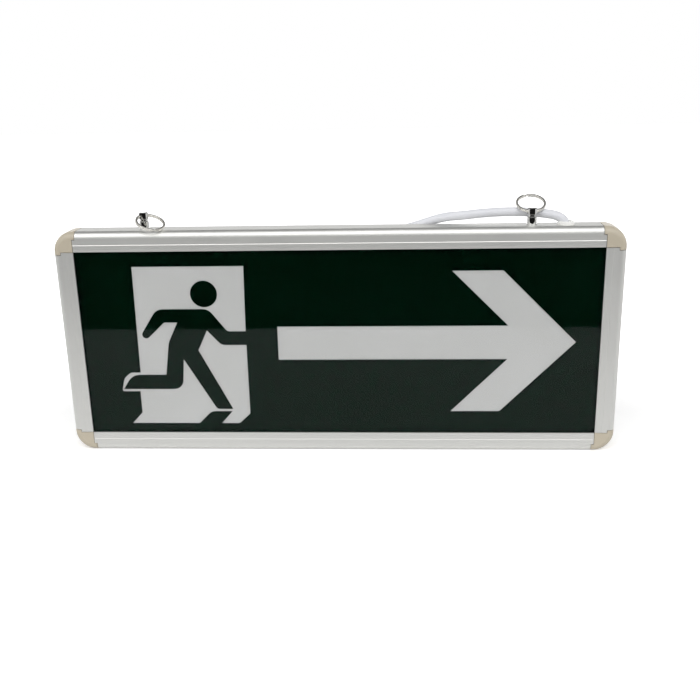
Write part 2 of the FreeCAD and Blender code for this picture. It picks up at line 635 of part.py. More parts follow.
def make_hank():
    """The put-away length: folded turns on top of each other, drawn together at the tie."""
    cord = value("cord_dia")
    end = value("hank_length/2")
    wide = value("hank_fold + cord_dia/2")
    waist = cord + value("hank_waist")
    inner, outer, ease = end * 0.105, end * 0.412, end * 0.241
    quarter = [(end, wide, wide - 0.1), (outer, wide, ease), (inner, waist, ease)]
    outline = [(x, y, r) for x, y, r in quarter] + [(-x, y, r) for x, y, r in reversed(quarter)]
    outline += [(-x, -y, r) for x, y, r in outline]
    centre = V(*HANK_CENTRE, 0)
    path = rounded_path([(centre + V(x, y, 0), r) for x, y, r in outline], True)
    tall = value("hank_turns*cord_dia")
    block = Part.Face(path).extrude(V(0, 0, tall))
    level = [edge for edge in block.Edges if near(edge.CenterOfMass.z, 0)
             or near(edge.CenterOfMass.z, tall)]
    block = block.makeFillet(value("hank_round"), level)
    # the tie runs under the hank in a shallow step
    across = value("tie_width/2 + tie_play")
    step = Part.makeBox(2 * across, 2 * wide, value("tie_thickness"),
                        centre - V(across, wide, 0))
    return plain("supply_hank", block.cut(step)).Shape


def make_tie():
    """A flat band closed round the middle of the hank."""
    wall, play = value("tie_thickness"), value("tie_play")
    wide = value("cord_dia + hank_waist") + play
    tall = value("hank_turns*cord_dia") + play
    across = value("tie_width")
    corner = V(*HANK_CENTRE, 0) - V(across / 2, wide + wall, 0)
    band = Part.makeBox(across, 2 * (wide + wall), tall + 2 * wall - play, corner)
    band = band.makeFillet(2 * wall, [edge for edge in band.Edges
                                      if near(edge.BoundBox.XLength, across)])
    bore = Part.makeBox(across, 2 * wide, tall - play + play, corner + V(0, wall, wall))
    return plain("lead_tie", band.cut(bore))


def make_tail(hank):
    """The sheath's cut end, leaving the lowest turn along the floor, and the three cores in it."""
    radius = value("cord_dia/2")
    start = V(HANK_CENTRE[0] + value("hank_length/2 - hank_fold - cord_dia/2"),
              HANK_CENTRE[1] - value("hank_fold"), radius)
    along = V(-1, 0, 0)
    length = value("tail_length")
    sheath = Part.makeCylinder(radius, length, start, along)
    plain("supply_tail", sheath.cut(hank))
    core, reach = value("core_dia/2"), value("core_length")
    for number, name in enumerate(("live", "neutral", "earth")):
        angle = math.radians(90 + 120 * number)
        offset = V(0, math.cos(angle), math.sin(angle)) * (core * 2 / math.sqrt(3) + 0.06)
        plain("core_" + name, Part.makeCylinder(core, reach, start + along * length + offset,
                                                along))


hank = make_hank()
make_cord(hank)
make_tail(hank)
make_tie()

# ---------------------------------------------------------------- light strip
strip = body("light_strip")
sketch = new_sketch(strip, "XY_Plane")
add_outline(sketch, rectangle(f"-{STRIP_LENGTH}/2", "-strip_width/2", f"{STRIP_LENGTH}/2",
                              "strip_width/2"))
extrude(strip, sketch, "strip_thickness")
put(strip, "0", f"{CHANNEL_MIDDLE} - sign_depth/2", "rail_wall")


def make_row(label, count, pitch, start, piece):
    """Equal pieces in a row along X, in one node."""
    solids = [piece(value(start) + number * value(pitch)) for number in range(count)]
    return plain(label, Part.makeCompound(solids))


def chip(x):
    across, deep, tall = (value(name) for name in ("chip_length", "chip_width", "chip_height"))
    middle = value(f"{CHANNEL_MIDDLE} - sign_depth/2")
    floor = value("rail_wall + strip_thickness")
    base = Part.makeBox(across, deep, tall, V(x - across / 2, middle - deep / 2, floor))
    return base.makeChamfer(0.2, [edge for edge in base.Edges
                                  if near(edge.CenterOfMass.z, floor + tall)])


CHIP_PITCH = f"{STRIP_LENGTH}/chip_count"
make_row("light_chips", SIZES["chip_count"], CHIP_PITCH, f"-{STRIP_LENGTH}/2 + {CHIP_PITCH}/2",
         chip)


# ---------------------------------------------------------------- charger board in the right rail
# Pieces here are modelled with their own Z pointing inwards from the frame's right side and their
# own X up the rail, and are turned into place together.
def seat_on_side(part, height, reach):
    """Turns a piece so that its Z points inwards, and puts its origin on the right rail."""
    part.Placement = FreeCAD.Placement(
        V(value(f"sign_length/2 - ({reach})"), value(f"{CHANNEL_MIDDLE} - sign_depth/2"),
          value(height)), FreeCAD.Rotation(V(0, 0, 1), V(0, -1, 0), V(-1, 0, 0), "ZXY"))
    part.setExpression("Placement.Base.x", bound(f"sign_length/2 - ({reach})"))
    part.setExpression("Placement.Base.y", bound(f"{CHANNEL_MIDDLE} - sign_depth/2"))
    part.setExpression("Placement.Base.z", bound(height))
    DOCUMENT.recompute()
    return part


board = body("charger_board")
sketch = new_sketch(board, "XY_Plane")
add_outline(sketch, rectangle(f"-{BOARD_LENGTH}/2", "-board_width/2", f"{BOARD_LENGTH}/2",
                              "board_width/2"))
extrude(board, sketch, "board_thickness")
drill(board, "XY_Plane", [(f"{sign}{SPACER_SPREAD}/2", "0", "screw_dia + 0.2")
                          for sign in ("-", "")],
      "board_thickness", flip=True)
BOARD_MIDDLE = "sign_height/2"
seat_on_side(board, BOARD_MIDDLE, BOARD_FOOT)


def make_pair(label, sections):
    """Two equal turned pieces on the board's screw holes, in one node."""
    piece = body(label)
    for sign in ("-", ""):
        sketch = new_sketch(piece, "XZ_Plane")
        middle = f"{sign}{SPACER_SPREAD}/2"
        add_outline(sketch, [(f"{middle} + {across}", up) for across, up in sections])
        sweep_round(piece, sketch, middle, 360.0)
    return piece


SPACER = f"({BOARD_FOOT} - rail_wall)"
seat_on_side(make_pair("board_spacers", [
    ("(screw_dia/2 - 0.05)", "0"), ("(spacer_dia/2)", "0"), ("(spacer_dia/2)", SPACER),
    ("(screw_dia/2 - 0.05)", SPACER)]), BOARD_MIDDLE, "rail_wall")
SHANK = "(screw_dia/2 - 0.1)"
SCREW_END = f"-{SPACER} - board_thickness + screw_tip"
seat_on_side(make_pair("board_screws", [
    ("0", SCREW_END), (SHANK, SCREW_END),
    (SHANK, "0"), ("(screw_head_dia/2)", "0"), ("(screw_head_dia/2)", "(screw_head - 0.4)"),
    ("(screw_head_dia/2 - 0.4)", "screw_head"), ("0", "screw_head")]), BOARD_MIDDLE, BOARD_TOP)

transformer = body("transformer")
long, wide, tall = "transformer_length/2", "transformer_width/2", "transformer_height"
sketch = new_sketch(transformer, "XY_Plane")
add_outline(sketch, rectangle(f"-{long}", f"-{wide}", long, wide))
extrude(transformer, sketch, tall)
for sign in ("-", ""):
    sketch = new_sketch(transformer, "XY_Plane")
    add_outline(sketch, rectangle(f"-{long} + bobbin_flange*2", f"{sign}({wide})",
                                  f"{long} - bobbin_flange*2", f"{sign}({wide} - bobbin_waist)"))
    extrude(transformer, sketch, f"{tall} - bobbin_flange", "Pocket", flip=True)
seat_on_side(transformer, f"{BOARD_MIDDLE} + transformer_share*{SPACER_SPREAD}", BOARD_TOP)

capacitor = body("capacitor")
radius = "capacitor_dia/2"
turn(capacitor, [("0", "0"), (f"{radius} - 0.5", "0"), (radius, "0.5"), (radius, "1.6"),
                 (f"{radius} - 0.4", "2.1"), (radius, "2.6"), (radius, "capacitor_length - 0.4"),
                 (f"{radius} - 0.4", "capacitor_length"), ("0", "capacitor_length")])
put(capacitor, f"sign_length/2 - ({BOARD_TOP} + {radius})", f"{CHANNEL_MIDDLE} - sign_depth/2",
    f"{BOARD_MIDDLE} + capacitor_share*{SPACER_SPREAD}")

terminal = body("terminal_block")
sketch = new_sketch(terminal, "XY_Plane")
add_outline(sketch, rectangle("-terminal_length/2", "-terminal_width/2", "terminal_length/2",
                              "terminal_width/2"))
extrude(terminal, sketch, "terminal_height")
drill(terminal, "XY_Plane", [(f"(-0.5 + {way + 0.5}/terminal_ways)*terminal_length", "0",
                              "terminal_hole") for way in range(SIZES["terminal_ways"])],
      "terminal_height", flip=True)
seat_on_side(terminal, f"{BOARD_MIDDLE} + terminal_share*{SPACER_SPREAD}", BOARD_TOP)

# ---------------------------------------------------------------- test button and indicator lamps
switch = body("button_switch")
sketch = new_sketch(switch, "XY_Plane")
add_outline(sketch, rectangle("-switch_size/2", "-switch_size/2", "switch_size/2",
                              "switch_size/2"))
extrude(switch, sketch, "switch_height")
drill(switch, "XY_Plane", [("0", "0", "plunger_dia + 2*plunger_play")],
      "plunger_depth + button_travel + plunger_play", flip=True)
PLUNGER_TIP = f"({BOARD_FOOT} - switch_height - plunger_proud)"
seat_on_side(switch, BUTTON_PLACE, f"{BOARD_FOOT} - switch_height")

plunger = body("switch_plunger")
turn(plunger, [("0", "0"), ("plunger_dia/2", "0"), ("plunger_dia/2", "plunger_proud + plunger_depth"),
               ("0", "plunger_proud + plunger_depth")])
seat_on_side(plunger, BUTTON_PLACE, PLUNGER_TIP)

button = body("test_button")
turn(button, [("0", "-button_proud"), ("button_dia/2 - 0.4", "-button_proud"),
              ("button_dia/2", "-button_proud + 0.4"), ("button_dia/2", "rail_wall + 0.1"),
              ("button_flange_dia/2", "rail_wall + 0.1"),
              ("button_flange_dia/2", "rail_wall + 0.1 + button_flange"),
              ("plunger_dia/2", "rail_wall + 0.1 + button_flange"), ("plunger_dia/2", PLUNGER_TIP),
              ("0", PLUNGER_TIP)])
seat_on_side(button, BUTTON_PLACE, "0")


def lamp_row(label, sections, reach):
    """Round pieces in a row up the right rail, in one node."""
    outline = [V(value(across), 0, value(up)) for across, up in sections]
    face = Part.Face(Part.makePolygon(outline + outline[:1]))
    solid = face.revolve(V(0, 0, 0), V(0, 0, 1), 360)
    solids = [solid.translated(V(value("lamp_pitch") * number, 0, 0))
              for number in range(SIZES["lamp_count"])]
    row = plain(label, Part.makeCompound(solids))
    return seat_on_side(row, LAMP_PLACE, reach)


LENS = "lamp_dia/2"
lamp_row("indicator_lenses", [
    ("0", "-lamp_proud"), (f"{LENS}*0.55", "-lamp_proud*0.85"), (f"{LENS}*0.87", "-lamp_proud*0.45"),
    (LENS, "0"), (LENS, "rail_wall"), ("lamp_flange_dia/2", "rail_wall"),
    ("lamp_flange_dia/2", "rail_wall + lamp_flange"), (LENS, "rail_wall + lamp_flange"),
    (LENS, "rail_wall + lamp_pipe"), ("0", "rail_wall + lamp_pipe")], "0")
lamp_row("indicator_leds", [
    ("0", "-led_height"), (f"{LENS}*0.7", "-led_height*0.9"), (LENS, "-led_height*0.6"),
    (LENS, "-0.5"), ("led_base_dia/2", "-0.5"), ("led_base_dia/2", "0"), ("0", "0")], BOARD_FOOT)

# ---------------------------------------------------------------- battery behind the left rail
CELL_CENTRE = "(rib_reach + clip_clear + clip_wall + clip_play + cell_dia/2)"
CELL_MIDDLE = f"({DIFFUSER_FRONT}/2 + diffuser_thickness/2 + {REFLECTOR_FRONT}/2 - sign_depth/2)"
STICK_LENGTH = "(cell_count*cell_length + (cell_count - 1)*cell_join)"
battery = body("battery_stick")
outline = [("0", "0")]
for number in range(SIZES["cell_count"]):
    base = f"{number}*(cell_length + cell_join)"
    top = f"{base} + cell_length"
    outline += [("cell_dia/2 - cell_crimp", base), ("cell_dia/2", f"{base} + cell_crimp"),
                ("cell_dia/2", f"{top} - cell_crimp"), ("cell_dia/2 - cell_crimp", top)]
outline.append(("0", STICK_LENGTH))
turn(battery, outline)
put(battery, f"{CELL_CENTRE} - sign_length/2", CELL_MIDDLE, f"sign_height/2 - {STICK_LENGTH}/2")


def make_clips():
    """Two sprung clips that grip the stick, each on a foot against the rail's outer wall."""
    inner = value("cell_dia/2 + clip_play")
    outer = inner + value("clip_wall")
    wide = value("clip_width")
    mouth = value("clip_mouth")
    foot = value("clip_foot")
    reach = value(f"{CELL_CENTRE} - rail_wall")
    clips = []
    for sign in (-1, 1):
        low = value("sign_height/2") + sign * value("clip_spread") / 2 - wide / 2
        ring = Part.makeCylinder(outer, wide, V(0, 0, low))
        stem = Part.makeBox(reach, foot, wide, V(-reach, -foot / 2, low))
        bore = Part.makeCylinder(inner, wide, V(0, 0, low))
        gap = Part.makeBox(outer, mouth, wide, V(0, -mouth / 2, low))
        clips.append(ring.fuse(stem).cut(bore).cut(gap).removeSplitter())
    made = plain("battery_clips", Part.makeCompound(clips))
    made.Placement = FreeCAD.Placement(V(value(f"{CELL_CENTRE} - sign_length/2"),
                                         value(CELL_MIDDLE), 0), FreeCAD.Rotation())
    return made


make_clips()


# ---------------------------------------------------------------- checks and files
def write_parts():
    DOCUMENT.recompute()
    bad = [item.Label for item in DOCUMENT.Objects if {"Invalid", "Error"} & set(item.State)]
    tools = {link for item in DOCUMENT.Objects if item.TypeId == "Part::Cut"
             for link in (item.Base, item.Tool)}
    pieces = [item for item in DOCUMENT.Objects if item not in tools and
              item.TypeId in ("PartDesign::Body", "Part::Feature", "Part::Cut")]
    for piece in pieces:
        if piece.Shape.isNull() or not piece.Shape.isValid() or not piece.Shape.Solids:
            bad.append(piece.Label)
    if bad:
        raise SystemExit("failed: " + ", ".join(bad))
    os.makedirs("parts", exist_ok=True)
    for piece in pieces:
        piece.Shape.exportStep(f"parts/{piece.Label}.step")
        box = piece.Shape.BoundBox
        print("%-20s %2d solids %9.1f mm3  x %.1f..%.1f  y %.1f..%.1f  z %.1f..%.1f" % (
            piece.Label, len(piece.Shape.Solids), piece.Shape.Volume, box.XMin, box.XMax,
            box.YMin, box.YMax, box.ZMin, box.ZMax))


write_parts()
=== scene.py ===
# %% [markdown]
# # A hanging exit light
# The object is a slim lit sign, taken as 350 mm long and 20 mm deep. Four lengths of satin anodised
# rail and four moulded corners hold a printed green legend behind a clear cover. Two chromed posts
# with split rings carry it, and a white lead leaves through a grommet in the top.
# The solids come from the CAD source and stay where they are. This file gives them their finishes,
# and makes the pieces that CAD leaves plain: the lead with its tied hank, and the split rings.

import json
import math

import bmesh
import bpy
from mathutils import Matrix, Vector

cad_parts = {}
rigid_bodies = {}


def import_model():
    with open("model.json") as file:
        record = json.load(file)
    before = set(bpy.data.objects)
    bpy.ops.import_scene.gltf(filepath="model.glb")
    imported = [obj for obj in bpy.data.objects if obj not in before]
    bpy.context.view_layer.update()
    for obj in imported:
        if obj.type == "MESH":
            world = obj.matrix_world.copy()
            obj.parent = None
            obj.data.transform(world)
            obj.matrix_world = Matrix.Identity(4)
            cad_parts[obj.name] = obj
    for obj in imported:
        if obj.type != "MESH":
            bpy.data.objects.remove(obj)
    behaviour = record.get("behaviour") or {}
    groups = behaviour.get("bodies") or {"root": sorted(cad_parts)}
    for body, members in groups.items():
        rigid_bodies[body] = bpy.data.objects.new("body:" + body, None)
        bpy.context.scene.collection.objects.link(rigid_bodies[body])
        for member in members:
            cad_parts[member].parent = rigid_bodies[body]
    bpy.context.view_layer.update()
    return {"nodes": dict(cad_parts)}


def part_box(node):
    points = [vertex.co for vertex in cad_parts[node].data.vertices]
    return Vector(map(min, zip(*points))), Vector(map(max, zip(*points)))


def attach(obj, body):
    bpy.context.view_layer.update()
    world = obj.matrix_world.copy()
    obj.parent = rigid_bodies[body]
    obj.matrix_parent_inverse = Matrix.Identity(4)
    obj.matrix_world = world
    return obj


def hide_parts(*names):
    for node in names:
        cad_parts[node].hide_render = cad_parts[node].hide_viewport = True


for leftover in list(bpy.data.objects):
    bpy.data.objects.remove(leftover)
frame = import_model()
MM = 0.001

# %% [markdown]
# ## Camera
# The sign is seen from a little above and from its right half, as somebody sees it who stands in
# front of a low shelf. The camera's three axes are worked out from turn, tilt and roll, because
# that is easier to read than Euler angles.

# %% Camera
CAMERA_PLACE = Vector((0.0414, -0.5568, 0.2458))
CAMERA_TURN, CAMERA_TILT, CAMERA_ROLL = (math.radians(a) for a in (-3.53, 17.91, -1.27))

across = Vector((math.cos(CAMERA_TURN), -math.sin(CAMERA_TURN), 0))
forward = Vector((math.sin(CAMERA_TURN) * math.cos(CAMERA_TILT),
                  math.cos(CAMERA_TURN) * math.cos(CAMERA_TILT), -math.sin(CAMERA_TILT)))
level_up = across.cross(forward)
right = across * math.cos(CAMERA_ROLL) + level_up * math.sin(CAMERA_ROLL)
up = level_up * math.cos(CAMERA_ROLL) - across * math.sin(CAMERA_ROLL)

camera = bpy.data.objects.new("camera", bpy.data.cameras.new("camera"))
bpy.context.scene.collection.objects.link(camera)
turned = Matrix((right, up, -forward)).transposed().to_4x4()
camera.matrix_world = Matrix.Translation(CAMERA_PLACE) @ turned
camera.data.sensor_width = 36
camera.data.lens = 47.186
camera.data.clip_start = 0.01
bpy.context.scene.camera = camera
bpy.context.scene.view_settings.view_transform = "Standard"
print("camera looks along", [round(c, 3) for c in forward])

# %% [markdown]
# ## Finishes: the three helpers
# Every finish is a small tree of nodes. `linear` turns the hex colour that a painter would name
# into the linear values that the shader wants, `add` puts one node in a tree with its settings and
# its links, and `new_finish` starts a material whose constant values sit on the shader itself.

# %% Helpers for finishes
def linear(hex_colour, alpha=1.0):
    """An sRGB hex colour as linear RGBA."""
    channels = [int(hex_colour[i:i + 2], 16) / 255 for i in (1, 3, 5)]
    spread = [c / 12.92 if c <= 0.04045 else ((c + 0.055) / 1.055) ** 2.4 for c in channels]
    return (*spread, alpha)


def add(tree, kind, settings=None, links=None):
    """One node with its settings and inputs; a link is given as the socket it comes from."""
    node = tree.nodes.new(kind)
    for name, setting in (settings or {}).items():
        setattr(node, name, setting)
    for name, source in (links or {}).items():
        # a Mix node has one socket of each name for every data type; the enabled one counts
        socket = next(s for s in node.inputs if s.name == name and s.enabled)
        if isinstance(source, bpy.types.NodeSocket):
            tree.links.new(source, socket)
        else:
            socket.default_value = source
    return node


def result(node):
    """The first output that is in use."""
    return next(s for s in node.outputs if s.enabled)


def new_finish(name, colour, **values):
    """A material with one Principled shader, returned with its tree and that shader."""
    material = bpy.data.materials.new(name)
    material.use_nodes = True
    tree = material.node_tree
    shader = tree.nodes["Principled BSDF"]
    shader.inputs["Base Color"].default_value = linear(colour)
    material.diffuse_color = linear(colour)
    for socket, value in values.items():
        shader.inputs[socket.replace("_", " ")].default_value = value
    return material, tree, shader


print("white in linear light:", linear("#FFFFFF"))

# %% [markdown]
# ## The lead
# A 5.6 mm round white lead leaves the grommet upright, bends over behind the right post, runs
# along the top of the sign and drops behind it. The rest of its length is folded into a flat hank
# of three turns, tied round the middle, that lies behind the sign. One NURBS spline follows the
# whole route. Its turns are one list of control points, used three times, each time one cord lower.
# At the end of each turn the cord drops beside the front of the loop, where the incoming length
# lies on top.

# %% The lead's line
CORD = 5.6
ROUTE = [
    (139.5, 0.65, 140.2), (139.5, 0.65, 146.4), (134.7, 2.0, 149.9), (127.5, 5.5, 150.8),
    (117.5, 7.7, 151.4), (104.0, 7.8, 151.7), (88.5, 7.2, 151.0), (77.0, 7.6, 149.6),
    (67.5, 10.4, 148.6), (58.5, 13.8, 145.6), (49.5, 14.9, 142.4), (40.5, 15.2, 140.0),
    (33.5, 17.5, 133.0), (29.0, 20.0, 120.0), (26.3, 20.6, 100.0), (23.5, 20.0, 74.0),
    (19.5, 19.4, 50.0), (11.5, 18.4, 32.5), (-2.0, 17.2, 22.8), (-17.0, 16.4, 19.9),
]
HANK_CENTRE = Vector((-70.0, 33.0, 0))
HANK_QUARTER = [(6.1, 2.85), (15.7, 11.1), (26.2, 17.4), (38.3, 15.3), (46.0, 6.1)]

front_right = [(x, -y) for x, y in reversed(HANK_QUARTER)]
front_left = [(-x, -y) for x, y in HANK_QUARTER]
back_left = [(-x, y) for x, y in reversed(HANK_QUARTER)]
back_right = list(HANK_QUARTER)
# one turn: in at the front of the right-hand fold, round the left one and back
turn_plan = front_right[1:] + front_left + back_left + back_right + front_right[:1]
# the first points of a turn still lie one cord above its layer, and then the cord drops to it
POINTS_BEFORE_DROP = 3

hank_points = []
TURNS = 3
for turn in range(TURNS):
    layer = CORD * (TURNS - 0.5 - turn)
    for number, (x, y) in enumerate(turn_plan):
        lift = CORD if number < POINTS_BEFORE_DROP else 0.0
        hank_points.append(HANK_CENTRE + Vector((x, y, layer + lift)))
tail_bend = HANK_CENTRE + Vector((26.2, -16.7, CORD / 2))
tail_end = HANK_CENTRE + Vector((5.2, -16.7, CORD / 2))
hank_points += [HANK_CENTRE + Vector((38.3, -15.3, CORD / 2)), tail_bend,
                (tail_bend + tail_end) / 2, tail_end]
cord_points = [Vector(point) for point in ROUTE] + hank_points


def cord_curve(name, points, diameter):
    """A round cord in metres along one NURBS spline whose control points are in millimetres."""
    curve = bpy.data.curves.new(name, "CURVE")
    curve.dimensions = "3D"
    spline = curve.splines.new("NURBS")
    spline.points.add(len(points) - 1)
    for control, point in zip(spline.points, points):
        control.co = (*(Vector(point) * MM), 1)
    spline.order_u = 3
    spline.use_endpoint_u = True
    curve.resolution_u = 10
    curve.bevel_depth = diameter / 2 * MM
    curve.bevel_resolution = 5
    curve.use_fill_caps = True
    piece = bpy.data.objects.new(name, curve)
    bpy.context.scene.collection.objects.link(piece)
    return piece


supply_lead = cord_curve("supply_lead", cord_points, CORD)
print("control points in the lead:", len(cord_points))

# %% Bared ends of the three cores
STRAND = {"dia": 0.45, "length": 4.2, "ring": 0.5, "inside": 1.0}


def tree_with_inputs(name, inputs):
    """An empty Geometry Nodes tree with a geometry output and named number inputs."""
    tree = bpy.data.node_groups.new(name, "GeometryNodeTree")
    tree.interface.new_socket("Geometry", in_out="OUTPUT", socket_type="NodeSocketGeometry")
    for label, kind, value in inputs:
        socket = tree.interface.new_socket(label, in_out="INPUT", socket_type="NodeSocket" + kind)
        if kind != "Material":
            socket.default_value = value
    return tree, tree.nodes.new("NodeGroupInput"), tree.nodes.new("NodeGroupOutput")


def piece_from_tree(name, tree, values, turned=Matrix.Identity(4)):
    """Runs the tree, keeps its result as a plain mesh, and moves the mesh into place."""
    holder = bpy.data.objects.new(name, bpy.data.meshes.new(name + "_start"))
    bpy.context.scene.collection.objects.link(holder)
    modifier = holder.modifiers.new("make", "NODES")
    modifier.node_group = tree
    for item in tree.interface.items_tree:
        if item.in_out == "INPUT" and item.name in values:
            modifier[item.identifier] = values[item.name]
    bpy.context.view_layer.update()
    ready = holder.evaluated_get(bpy.context.evaluated_depsgraph_get())
    mesh = bpy.data.meshes.new_from_object(ready)
    holder.modifiers.remove(modifier)
    mesh.name = name
    mesh.transform(turned)
    holder.data = mesh
    print(name, "faces:", len(mesh.polygons))
    return holder


copper, copper_tree, copper_shader = new_finish("bare_copper_strand", "#C98A5E", Metallic=1.0,
                                                Roughness=0.32)
place = add(copper_tree, "ShaderNodeTexCoord").outputs["Object"]
tarnish = add(copper_tree, "ShaderNodeTexNoise", {}, {
    "Vector": place, "Scale": 900.0, "Detail": 3.0})
copper_mix = add(copper_tree, "ShaderNodeMix", {"data_type": "RGBA"}, {
    "Factor": result(tarnish), "A": linear("#D79A6C"), "B": linear("#A9683F")})
copper_tree.links.new(result(copper_mix), copper_shader.inputs["Base Color"])

# seven strands in each core: one in the middle and six round it
strands, strands_in, strands_out = tree_with_inputs("bared_strands", [
    ("Strand Radius", "Float", 0.0002), ("Length", "Float", 0.004), ("Spread", "Float", 0.0005),
    ("Finish", "Material", None)])
ring_of_six = add(strands, "GeometryNodeMeshCircle", {"fill_type": "NONE"},
                  {"Vertices": 6, "Radius": strands_in.outputs["Spread"]})
middle = add(strands, "GeometryNodeMeshLine", {"mode": "OFFSET"}, {"Count": 1})
places = add(strands, "GeometryNodeJoinGeometry")
for source in (ring_of_six.outputs["Mesh"], middle.outputs["Mesh"]):
    strands.links.new(source, places.inputs["Geometry"])
strand = add(strands, "GeometryNodeMeshCylinder", {}, {
    "Vertices": 10, "Radius": strands_in.outputs["Strand Radius"],
    "Depth": strands_in.outputs["Length"]})
copies = add(strands, "GeometryNodeInstanceOnPoints", {}, {
    "Points": places.outputs["Geometry"], "Instance": strand.outputs["Mesh"]})
real = add(strands, "GeometryNodeRealizeInstances", {}, {"Geometry": copies.outputs["Instances"]})
dressed = add(strands, "GeometryNodeSetMaterial", {}, {
    "Geometry": real.outputs["Geometry"], "Material": strands_in.outputs["Finish"]})
strands.links.new(dressed.outputs["Geometry"], strands_out.inputs["Geometry"])

for core in ("core_live", "core_neutral", "core_earth"):
    low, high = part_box(core)
    end = Vector((low.x, (low.y + high.y) / 2, (low.z + high.z) / 2))
    reach = STRAND["length"] * MM
    # the strands start a little inside the insulation
    along = Matrix.Translation(end + Vector((STRAND["inside"] * MM - reach / 2, 0, 0)))
    tip = piece_from_tree(core + "_strands", strands, {
        "Strand Radius": STRAND["dia"] / 2 * MM, "Length": reach, "Spread": STRAND["ring"] * MM,
        "Finish": copper}, along @ Matrix.Rotation(math.radians(90), 4, "Y"))
    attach(tip, "housing")

# %% The lead's finish
# Soft white sheath: matt, with the faint ripple that the sheath takes from the twisted cores.
sheath, sheath_tree, sheath_shader = new_finish("soft_white_sheath", "#DADBDF", Roughness=0.42,
                                                Specular_IOR_Level=0.4)
place = add(sheath_tree, "ShaderNodeTexCoord").outputs["Object"]
ripple = add(sheath_tree, "ShaderNodeTexNoise", {}, {
    "Vector": place, "Scale": 60.0, "Detail": 2.0})
sheath_mix = add(sheath_tree, "ShaderNodeMix", {"data_type": "RGBA"}, {
    "Factor": result(ripple), "A": linear("#DEDFE3"), "B": linear("#D4D5DA")})
sheath_relief = add(sheath_tree, "ShaderNodeBump", {}, {"Height": result(ripple),
                                                        "Strength": 0.15, "Distance": 0.0006})
sheath_tree.links.new(result(sheath_mix), sheath_shader.inputs["Base Color"])
sheath_tree.links.new(sheath_relief.outputs["Normal"], sheath_shader.inputs["Normal"])
supply_lead.data.materials.append(sheath)

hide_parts("supply_cord", "supply_hank", "supply_tail")
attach(supply_lead, "housing")
print("lead finished:", supply_lead.data.materials[0].name)

# %% [markdown]
# ## The split rings
# A split ring is one flat wire wound twice round, like a key ring: it lies in two layers, crosses
# from one to the other in a short step, and its two ends show on both sides of that step. It
# follows a rule, so Geometry Nodes wind it: a spiral with no height, lifted from layer to layer by
# how far along the wire each point is, with a small rounded section drawn along it.

# %% Tree of the split ring
wound, wound_in, wound_out = tree_with_inputs("split_ring", [
    ("Mean Radius", "Float", 0.008), ("Wire Width", "Float", 0.0013),
    ("Wire Height", "Float", 0.0008), ("Layer", "Float", 0.00085), ("Turns", "Float", 1.96),
    ("Finish", "Material", None)])
spiral = add(wound, "GeometryNodeCurveSpiral", {}, {
    "Resolution": 96, "Rotations": wound_in.outputs["Turns"],
    "Start Radius": wound_in.outputs["Mean Radius"],
    "End Radius": wound_in.outputs["Mean Radius"], "Height": 0.0})
along_wire = add(wound, "GeometryNodeSplineParameter")
step = add(wound, "ShaderNodeMapRange", {"interpolation_type": "SMOOTHSTEP"}, {
    "Value": along_wire.outputs["Factor"], "From Min": 0.482, "From Max": 0.518,
    "To Min": -0.5, "To Max": 0.5})
height = add(wound, "ShaderNodeMath", {"operation": "MULTIPLY"})
wound.links.new(step.outputs["Result"], height.inputs[0])
wound.links.new(wound_in.outputs["Layer"], height.inputs[1])
lift = add(wound, "ShaderNodeCombineXYZ", {}, {"Z": height.outputs["Value"]})
layers = add(wound, "GeometryNodeSetPosition", {}, {"Geometry": spiral.outputs["Curve"],
                                                    "Offset": lift.outputs["Vector"]})
upright = add(wound, "GeometryNodeSetCurveNormal", {"mode": "Z_UP"},
              {"Curve": layers.outputs["Geometry"]})
section = add(wound, "GeometryNodeCurvePrimitiveQuadrilateral", {"mode": "RECTANGLE"}, {
    "Width": wound_in.outputs["Wire Width"], "Height": wound_in.outputs["Wire Height"]})
rounded = add(wound, "GeometryNodeFilletCurve", {"mode": "POLY"}, {
    "Curve": section.outputs["Curve"], "Radius": 0.00028, "Count": 4})
wire = add(wound, "GeometryNodeCurveToMesh", {}, {
    "Curve": upright.outputs["Curve"], "Profile Curve": rounded.outputs["Curve"],
    "Fill Caps": True})
smooth = add(wound, "GeometryNodeSetShadeSmooth", {}, {"Geometry": wire.outputs["Mesh"]})
real_ring = add(wound, "GeometryNodeRealizeInstances", {}, {"Geometry": smooth.outputs["Geometry"]})
plated = add(wound, "GeometryNodeSetMaterial", {}, {
    "Geometry": real_ring.outputs["Geometry"], "Material": wound_in.outputs["Finish"]})
wound.links.new(plated.outputs["Geometry"], wound_out.inputs["Geometry"])
print("nodes in the ring's tree:", len(wound.nodes))

# %% Bright plating
# Nickel and chromium over steel: a mirror with faint waves and rub marks.
chrome, chrome_tree, chrome_shader = new_finish("bright_chromium_plating", "#DCDCDA", Metallic=1.0,
                                                Roughness=0.09)
place = add(chrome_tree, "ShaderNodeTexCoord").outputs["Object"]
rub = add(chrome_tree, "ShaderNodeTexNoise", {}, {
    "Vector": place, "Scale": 420.0, "Detail": 4.0})
rub_range = add(chrome_tree, "ShaderNodeMapRange", {}, {
    "Value": result(rub), "From Min": 0.35, "From Max": 0.75, "To Min": 0.04, "To Max": 0.1})
chrome_relief = add(chrome_tree, "ShaderNodeBump", {}, {"Height": result(rub),
                                                        "Strength": 0.02, "Distance": 0.0001})
chrome_tree.links.new(rub_range.outputs["Result"], chrome_shader.inputs["Roughness"])
chrome_tree.links.new(chrome_relief.outputs["Normal"], chrome_shader.inputs["Normal"])

